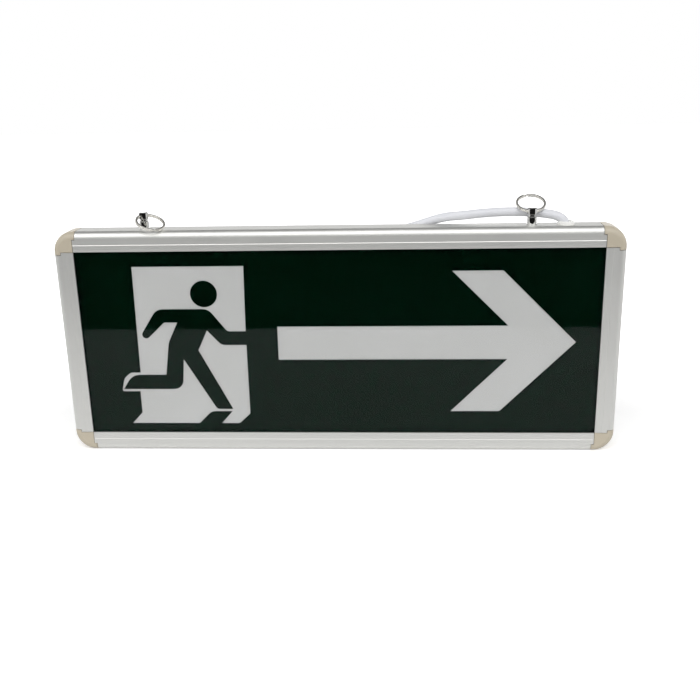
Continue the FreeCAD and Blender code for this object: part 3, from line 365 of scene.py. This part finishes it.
nickel, nickel_tree, nickel_shader = new_finish("nickel_plated_spring_wire", "#E2E0DA",
                                                Metallic=1.0, Roughness=0.24)
place = add(nickel_tree, "ShaderNodeTexCoord").outputs["Object"]
drawn = add(nickel_tree, "ShaderNodeTexNoise", {}, {
    "Vector": place, "Scale": 700.0, "Detail": 2.0})
drawn_range = add(nickel_tree, "ShaderNodeMapRange", {}, {
    "Value": result(drawn), "From Min": 0.3, "From Max": 0.7, "To Min": 0.2, "To Max": 0.3})
nickel_tree.links.new(drawn_range.outputs["Result"], nickel_shader.inputs["Roughness"])
print("plated finishes:", chrome.name, nickel.name)

# %% Two rings in place
RING = {"dia": 18.2, "wire": 1.3, "thickness": 1.7, "seat": 0.24, "gap": 0.05, "turns": 1.96}
STEP_PAST_TOP = 7  # degrees that the wire's step lies past the point opposite the post
EYE_HEIGHT, HANGER_PLACE, CHANNEL_MIDDLE, SIGN_HEIGHT = 8.0, 119.0, 0.65, 145.0
HUNG = {"left": (-1, 45.0, -115.0), "right": (1, 0.0, 64.0)}
ring_arm = RING["dia"] / 2 - RING["wire"] / 2 - RING["seat"]

rings = {}
for name, (side, eye_turn, lean) in HUNG.items():
    eye = Vector((side * HANGER_PLACE, CHANNEL_MIDDLE, SIGN_HEIGHT + EYE_HEIGHT)) * MM
    hang = (Matrix.Rotation(math.radians(eye_turn), 4, "Z")
            @ Matrix.Rotation(math.radians(90 - lean), 4, "X"))
    centre = hang @ Vector((0, ring_arm * MM, 0))
    stepped = Matrix.Rotation(math.radians(90 + STEP_PAST_TOP), 4, "Z")
    rings[name] = piece_from_tree("split_ring_" + name, wound, {
        "Mean Radius": (RING["dia"] - RING["wire"]) / 2 * MM, "Wire Width": RING["wire"] * MM,
        "Wire Height": (RING["thickness"] / 2 - RING["gap"]) * MM,
        "Layer": RING["thickness"] / 2 * MM, "Turns": RING["turns"], "Finish": nickel},
        Matrix.Translation(eye + centre) @ hang @ stepped)
    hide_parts("ring_" + name)
    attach(rings[name], name + "_ring")
    low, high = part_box("ring_" + name)
    print(name, "ring box", [round(c / MM, 1) for c in (*low, *high)])

# %% [markdown]
# ## Finishes of the frame
# The rails are extruded aluminium with a satin anodised skin. Drawing the metal through the die
# leaves hair-fine lines along its length, so the noise that makes them is stretched along each
# rail. They are drawn about a sixth of a millimetre apart, so that they show. The corners are
# moulded in a warm stone grey, smooth but not glossy.

# %% Anodised rails
def rail_finish(name, stretch):
    """Satin anodised aluminium with drawing lines; stretch holds the noise scale along X, Y, Z."""
    material, tree, shader = new_finish(name, "#DCDCD9", Metallic=1.0, Roughness=0.5)
    place = add(tree, "ShaderNodeTexCoord").outputs["Object"]
    stretched = add(tree, "ShaderNodeMapping", {"vector_type": "POINT"},
                    {"Vector": place, "Scale": stretch})
    lines = add(tree, "ShaderNodeTexNoise", {}, {"Vector": stretched.outputs["Vector"],
                                                 "Scale": 1.0, "Detail": 3.0, "Roughness": 0.6})
    cloud = add(tree, "ShaderNodeTexNoise", {}, {"Vector": place, "Scale": 35.0})
    tint = add(tree, "ShaderNodeMix", {"data_type": "RGBA"}, {
        "Factor": result(lines), "A": linear("#D6D6D3"), "B": linear("#E2E2DF")})
    matt = add(tree, "ShaderNodeMapRange", {}, {
        "Value": result(cloud), "To Min": 0.47, "To Max": 0.54})
    relief = add(tree, "ShaderNodeBump", {}, {"Height": result(lines),
                                              "Strength": 0.12, "Distance": 0.0001})
    tree.links.new(result(tint), shader.inputs["Base Color"])
    tree.links.new(matt.outputs["Result"], shader.inputs["Roughness"])
    tree.links.new(relief.outputs["Normal"], shader.inputs["Normal"])
    return material


rail_across = rail_finish("anodised_aluminium_drawn_across", (12.0, 6000.0, 6000.0))
rail_upright = rail_finish("anodised_aluminium_drawn_upright", (6000.0, 6000.0, 12.0))


# %% Moulded plastics
def moulded(name, colour, darker, roughness, grain, relief=0.1, **values):
    """A moulded plastic: two close tones in soft clouds, and a fine skin grain in millimetres."""
    material, tree, shader = new_finish(name, colour, Roughness=roughness, **values)
    place = add(tree, "ShaderNodeTexCoord").outputs["Object"]
    clouds = add(tree, "ShaderNodeTexNoise", {}, {
        "Vector": place, "Scale": 45.0, "Detail": 2.0})
    skin = add(tree, "ShaderNodeTexNoise", {}, {
        "Vector": place, "Scale": 1000 / grain, "Detail": 2.0})
    tones = add(tree, "ShaderNodeMix", {"data_type": "RGBA"}, {
        "Factor": result(clouds), "A": linear(colour), "B": linear(darker)})
    bump = add(tree, "ShaderNodeBump", {}, {"Height": result(skin),
                                            "Strength": relief, "Distance": 0.00005})
    tree.links.new(result(tones), shader.inputs["Base Color"])
    tree.links.new(bump.outputs["Normal"], shader.inputs["Normal"])
    return material


corner_grey = moulded("moulded_abs_stone_grey", "#BDB4A2", "#B5AC9A", 0.38, 0.6,
                      Specular_IOR_Level=0.45)
grommet_white = moulded("moulded_nylon_white", "#EDEDEA", "#E4E4E0", 0.4, 0.8)
tie_black = moulded("moulded_nylon_black", "#151515", "#1C1C1C", 0.45, 0.7)
back_white = moulded("matt_polystyrene_white", "#DADAD6", "#D3D3CF", 0.55, 0.35, 0.25)
button_grey = moulded("moulded_abs_light_grey", "#D3D3CF", "#CBCBC7", 0.35, 0.7)
switch_black = moulded("moulded_nylon_switch_black", "#1A1A1B", "#131314", 0.5, 0.7)
natural_nylon = moulded("moulded_nylon_natural", "#E6E2D2", "#DDD8C6", 0.5, 0.8)
terminal_green = moulded("moulded_polyamide_green", "#2C6B45", "#26603D", 0.45, 0.8)
print("corner colour:", [round(c, 3) for c in corner_grey.diffuse_color])

# %% [markdown]
# ## The panel
# Four sheets lie on each other: a clear cover, the printed film, an opal diffuser and a white
# reflector. The green is ink, so it is dark and a little uneven; the doorway, the runner's ground
# and the arrow are windows in it through which the diffuser shows. The cover's mirror image of the
# room is faint. To keep it so, its index is set to 1.2, lower than the 1.49 of real acrylic.

# %% Clear cover, ink and diffuser
clear, clear_tree, clear_shader = new_finish("clear_cast_acrylic", "#FFFFFF", Roughness=0.02,
                                             Transmission_Weight=1.0, IOR=1.2)
place = add(clear_tree, "ShaderNodeTexCoord").outputs["Object"]
wave = add(clear_tree, "ShaderNodeTexNoise", {}, {"Vector": place, "Scale": 8.0})
clear_relief = add(clear_tree, "ShaderNodeBump", {}, {"Height": result(wave),
                                                      "Strength": 0.03, "Distance": 0.0005})
clear_tree.links.new(clear_relief.outputs["Normal"], clear_shader.inputs["Normal"])

ink = moulded("printed_green_ink", "#02190E", "#02160C", 0.6, 0.5, 0.05, Specular_IOR_Level=0.0)
opal = moulded("opal_acrylic_sheet", "#DBDCDB", "#D5D6D4", 0.5, 0.9, 0.05, Specular_IOR_Level=0.3)
reflector = moulded("white_reflector_film", "#F0F0EE", "#EAEAE7", 0.6, 0.6)
print("ink:", [round(c, 3) for c in ink.diffuse_color])

# %% The cover's sheet
# The solid touches the film all over; light needs a hair of air there, as between real sheets.
AIR_FILM = 0.08 * MM
SHEET_CORNER = 9.0 * MM
CORNER_STEPS = 10
low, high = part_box("front_cover")
outline = []
for x, z, start in ((high.x, high.z, 0), (low.x, high.z, 90), (low.x, low.z, 180),
                    (high.x, low.z, 270)):
    bend_x = x - math.copysign(SHEET_CORNER, x)
    bend_z = z - SHEET_CORNER if start < 180 else z + SHEET_CORNER
    for number in range(CORNER_STEPS + 1):
        angle = math.radians(start + 90 * number / CORNER_STEPS)
        outline.append((bend_x + SHEET_CORNER * math.cos(angle),
                        bend_z + SHEET_CORNER * math.sin(angle)))
shape = bmesh.new()
front_points = [shape.verts.new((x, low.y, z)) for x, z in outline]
back_points = [shape.verts.new((x, high.y - AIR_FILM, z)) for x, z in outline]
shape.faces.new(front_points)
shape.faces.new(list(reversed(back_points)))
for number in range(len(outline)):
    after = (number + 1) % len(outline)
    shape.faces.new((front_points[after], front_points[number], back_points[number],
                     back_points[after]))
bmesh.ops.recalc_face_normals(shape, faces=shape.faces)
cover_mesh = bpy.data.meshes.new("cover_sheet")
shape.to_mesh(cover_mesh)
shape.free()
cover_mesh.materials.append(clear)
cover_sheet = bpy.data.objects.new("cover_sheet", cover_mesh)
bpy.context.scene.collection.objects.link(cover_sheet)
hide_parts("front_cover")
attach(cover_sheet, "housing")
print("cover is", round((high.y - low.y - AIR_FILM) / MM, 2), "mm thick")

# %% [markdown]
# ## Inside and fittings
# Little of the inside shows, but each part still has the finish of its kind: solder mask with
# tracks on the boards, tape round the transformer's winding, a sleeved can, shrink sleeve on the
# cells, zinc on the screws and nuts, and spring steel on the clips.

# %% Boards, windings and cells
def tracked_board(name, mask, track):
    """Solder mask over etched tracks: straight lines of one width, joined in squares."""
    material, tree, shader = new_finish(name, mask, Roughness=0.28, Coat_Weight=0.4)
    place = add(tree, "ShaderNodeTexCoord").outputs["Object"]
    grid = add(tree, "ShaderNodeTexBrick", {"offset": 0.5}, {
        "Vector": place, "Color1": linear(mask), "Color2": linear(mask),
        "Mortar": linear(track), "Scale": 120.0, "Mortar Size": 0.03, "Brick Width": 0.6,
        "Row Height": 0.25})
    relief = add(tree, "ShaderNodeBump", {}, {"Height": grid.outputs["Fac"], "Strength": 0.2,
                                              "Distance": 0.00004})
    tree.links.new(grid.outputs["Color"], shader.inputs["Base Color"])
    tree.links.new(relief.outputs["Normal"], shader.inputs["Normal"])
    return material


# a wave texture of scale 1 turns by this many radians along one metre
WAVE_RATE = 20


def banded(name, colour, band, pitch, roughness, axis="Z", **values):
    """Tape, sleeve or brushed metal: fine bands of one pitch in millimetres along an axis."""
    material, tree, shader = new_finish(name, colour, Roughness=roughness, **values)
    place = add(tree, "ShaderNodeTexCoord").outputs["Object"]
    bands = add(tree, "ShaderNodeTexWave", {"wave_type": "BANDS", "bands_direction": axis}, {
        "Vector": place, "Scale": math.tau * 1000 / pitch / WAVE_RATE, "Distortion": 0.6,
        "Detail": 2.0})
    tint = add(tree, "ShaderNodeMix", {"data_type": "RGBA"}, {
        "Factor": result(bands), "A": linear(colour), "B": linear(band)})
    relief = add(tree, "ShaderNodeBump", {}, {"Height": result(bands), "Strength": 0.2,
                                              "Distance": 0.00008})
    tree.links.new(result(tint), shader.inputs["Base Color"])
    tree.links.new(relief.outputs["Normal"], shader.inputs["Normal"])
    return material


board_green = tracked_board("solder_mask_green", "#12502B", "#1E6B3C")
board_white = tracked_board("solder_mask_white", "#E2E3DF", "#D2D3CE")
winding_tape = banded("taped_winding_yellow", "#C9A227", "#B8911C", 2.0, 0.4)
can_sleeve = banded("sleeved_can_blue", "#1C2A4E", "#24345C", 3.0, 0.35)
cell_sleeve = banded("shrink_sleeve_green", "#1F7A4A", "#1A6C41", 4.0, 0.3)
zinc = banded("zinc_plated_steel", "#B9BAB5", "#A9AAA6", 0.6, 0.4, Metallic=1.0)
spring = banded("rolled_spring_steel", "#ABABA7", "#9C9C98", 0.8, 0.35, Metallic=1.0)
brown_core = moulded("brown_insulation", "#5A3220", "#4F2B1B", 0.45, 0.9)
blue_core = moulded("blue_insulation", "#1E56A8", "#1A4C97", 0.45, 0.9)
earth_core = banded("green_and_yellow_insulation", "#2E8B37", "#E0D02A", 6.0, 0.45, "X")
print("inside finishes:", len(bpy.data.materials))

# %% Lamps: white chips and clear lenses
chip_body = moulded("moulded_lamp_body", "#E8DFA0", "#E0D690", 0.35, 0.5)


def lens_finish(name, colours, start, pitch):
    """Clear tinted plastic; the three lenses in the row are told apart by their height."""
    material, tree, shader = new_finish(name, colours[1], Roughness=0.18, Coat_Weight=0.5,
                                        Transmission_Weight=0.35)
    place = add(tree, "ShaderNodeTexCoord").outputs["Object"]
    height = add(tree, "ShaderNodeSeparateXYZ", {}, {"Vector": place})
    share = add(tree, "ShaderNodeMapRange", {}, {
        "Value": height.outputs["Z"], "From Min": start - pitch / 2,
        "From Max": start + 2.5 * pitch})
    ramp = add(tree, "ShaderNodeValToRGB", {}, {"Fac": share.outputs["Result"]})
    ramp.color_ramp.interpolation = "CONSTANT"
    ramp.color_ramp.elements[0].color = linear(colours[0])
    ramp.color_ramp.elements[1].position = 2 / 3
    ramp.color_ramp.elements[1].color = linear(colours[2])
    ramp.color_ramp.elements.new(1 / 3).color = linear(colours[1])
    tree.links.new(ramp.outputs["Color"], shader.inputs["Base Color"])
    return material


low_lens, high_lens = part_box("indicator_lenses")
LENS_PITCH = 8.0 * MM
LENS_RADIUS = 2.1 * MM
first_lens = low_lens.z + LENS_RADIUS
lens_colours = lens_finish("tinted_clear_lenses", ("#C8352B", "#E39A1F", "#49A04A"), first_lens,
                           LENS_PITCH)
led_clear = lens_finish("clear_led_domes", ("#D9D9D2", "#DADAD3", "#D8DCD2"), first_lens,
                        LENS_PITCH)
print("lenses between", round(low_lens.z / MM, 1), "and", round(high_lens.z / MM, 1), "mm")

# %% Which node wears what
FINISH_OF = {
    "left_rail": rail_upright, "right_rail": rail_upright, "top_rail": rail_across,
    "bottom_rail": rail_across, "top_left_corner": corner_grey, "top_right_corner": corner_grey,
    "bottom_right_corner": corner_grey, "bottom_left_corner": corner_grey, "front_cover": clear,
    "legend_film": ink, "diffuser": opal, "reflector_sheet": reflector, "back_panel": back_white,
    "hanger_post_left": chrome, "hanger_post_right": chrome, "ring_left": nickel,
    "ring_right": nickel, "hanger_nut_left": zinc, "hanger_nut_right": zinc,
    "board_screws": zinc, "cable_grommet": grommet_white, "supply_cord": sheath,
    "supply_hank": sheath, "supply_tail": sheath, "lead_tie": tie_black, "core_live": brown_core,
    "core_neutral": blue_core, "core_earth": earth_core, "charger_board": board_green,
    "light_strip": board_white, "light_chips": chip_body, "board_spacers": natural_nylon,
    "transformer": winding_tape, "capacitor": can_sleeve, "terminal_block": terminal_green,
    "button_switch": switch_black, "switch_plunger": switch_black, "test_button": button_grey,
    "indicator_lenses": lens_colours, "indicator_leds": led_clear, "battery_stick": cell_sleeve,
    "battery_clips": spring,
}
for name, node in frame["nodes"].items():
    node.data.materials.clear()
    node.data.materials.append(FINISH_OF[name])
print("dressed:", len(FINISH_OF), "of", len(frame["nodes"]))

# %% [markdown]
# ## Floor, room and lamp
# The sign stands on a white sheet that ends a little in front of it; beyond that the room is dark,
# which is what the lower half of the cover and the chrome mirror. One wide soft lamp above the
# front lights it. The room is a plain grey dome with a white wall low behind, and looks white to
# the camera.

# %% Floor
FLOOR_FRONT, FLOOR_BACK, FLOOR_SIDE = -0.285, 2.6, 2.6
floor_mesh = bpy.data.meshes.new("floor")
floor_mesh.from_pydata([(-FLOOR_SIDE, FLOOR_FRONT, 0), (FLOOR_SIDE, FLOOR_FRONT, 0),
                        (FLOOR_SIDE, FLOOR_BACK, 0), (-FLOOR_SIDE, FLOOR_BACK, 0)], [],
                       [(0, 1, 2, 3)])
floor = bpy.data.objects.new("floor", floor_mesh)
bpy.context.scene.collection.objects.link(floor)
paper, paper_tree, paper_shader = new_finish("white_paper_sheet", "#F4F4F4", Roughness=0.9,
                                             Specular_IOR_Level=0.0)
# away from the sign the sheet is as white as the room; near it, it keeps the sign's shadow
place = add(paper_tree, "ShaderNodeTexCoord").outputs["Object"]
spot = add(paper_tree, "ShaderNodeMapping", {"vector_type": "POINT"}, {
    "Vector": place, "Scale": (1.0, 1.6, 1.0)})
distance = add(paper_tree, "ShaderNodeVectorMath", {"operation": "LENGTH"})
paper_tree.links.new(spot.outputs["Vector"], distance.inputs[0])
far = add(paper_tree, "ShaderNodeMapRange", {"interpolation_type": "SMOOTHSTEP"}, {
    "Value": distance.outputs["Value"], "From Min": 0.22, "From Max": 0.42, "To Min": 0.3})
paper_ray = add(paper_tree, "ShaderNodeLightPath")
clear_sight = add(paper_tree, "ShaderNodeMath", {"operation": "MULTIPLY"})
paper_tree.links.new(far.outputs["Result"], clear_sight.inputs[0])
paper_tree.links.new(paper_ray.outputs["Is Camera Ray"], clear_sight.inputs[1])
glow = add(paper_tree, "ShaderNodeEmission", {}, {"Color": (1, 1, 1, 1),
                                                  "Strength": clear_sight.outputs["Value"]})
paper_sum = add(paper_tree, "ShaderNodeAddShader")
paper_tree.links.new(paper_shader.outputs["BSDF"], paper_sum.inputs[0])
paper_tree.links.new(glow.outputs["Emission"], paper_sum.inputs[1])
paper_tree.links.new(paper_sum.outputs["Shader"],
                     paper_tree.nodes["Material Output"].inputs["Surface"])
floor_mesh.materials.append(paper)
print("floor from y", FLOOR_FRONT, "to", FLOOR_BACK)

# %% Soft lamp
lamp_data = bpy.data.lights.new("soft_lamp", "AREA")
lamp_data.shape = "RECTANGLE"
lamp_data.size, lamp_data.size_y = 3.2, 1.0
lamp_data.energy = 24.0
lamp = bpy.data.objects.new("soft_lamp", lamp_data)
bpy.context.scene.collection.objects.link(lamp)
LAMP_PLACE, LAMP_AIM = Vector((0.0, -0.80, 1.02)), Vector((0, 0, 0.07))
lamp.location = LAMP_PLACE
lamp.rotation_euler = (LAMP_AIM - LAMP_PLACE).to_track_quat("-Z", "Y").to_euler()
print("lamp at", [round(c, 2) for c in LAMP_PLACE])

# %% Room
room = bpy.data.worlds.new("room")
room.use_nodes = True
bpy.context.scene.world = room
sky = room.node_tree
sky.nodes.clear()
heading = add(sky, "ShaderNodeTexCoord").outputs["Generated"]
parts = add(sky, "ShaderNodeSeparateXYZ", {}, {"Vector": heading})
behind = add(sky, "ShaderNodeMapRange", {"interpolation_type": "SMOOTHSTEP"}, {
    "Value": parts.outputs["Y"], "From Min": -0.15, "From Max": 0.15})
low = add(sky, "ShaderNodeMapRange", {"interpolation_type": "SMOOTHSTEP"}, {
    "Value": parts.outputs["Z"], "From Min": 0.46, "From Max": 0.36})
wall = add(sky, "ShaderNodeMix", {"data_type": "RGBA"}, {
    "Factor": behind.outputs["Result"], "A": (0.5, 0.5, 0.5, 1), "B": (1.7, 1.7, 1.7, 1)})
dome = add(sky, "ShaderNodeMix", {"data_type": "RGBA"}, {
    "Factor": low.outputs["Result"], "A": (0.2, 0.2, 0.2, 1), "B": result(wall)})
# below the floor's edge the room is dark
under = add(sky, "ShaderNodeMapRange", {"interpolation_type": "SMOOTHSTEP"}, {
    "Value": parts.outputs["Z"], "From Min": 0.0, "From Max": -0.06})
pit = add(sky, "ShaderNodeMix", {"data_type": "RGBA"}, {
    "Factor": under.outputs["Result"], "A": result(dome), "B": (0.01, 0.01, 0.01, 1)})
ray = add(sky, "ShaderNodeLightPath")
# through the clear cover the white wall shows, but the cover's own mirror image stays dark
through = add(sky, "ShaderNodeMath", {"operation": "MULTIPLY"})
sky.links.new(ray.outputs["Is Transmission Ray"], through.inputs[0])
sky.links.new(behind.outputs["Result"], through.inputs[1])
seen = add(sky, "ShaderNodeMath", {"operation": "MAXIMUM"})
sky.links.new(ray.outputs["Is Camera Ray"], seen.inputs[0])
sky.links.new(through.outputs["Value"], seen.inputs[1])
shown = add(sky, "ShaderNodeMix", {"data_type": "RGBA"}, {
    "Factor": seen.outputs["Value"], "A": result(pit), "B": (1, 1, 1, 1)})
light = add(sky, "ShaderNodeBackground", {}, {"Color": result(shown), "Strength": 1.0})
add(sky, "ShaderNodeOutputWorld", {}, {"Surface": light.outputs["Background"]})
print("room nodes:", len(sky.nodes))
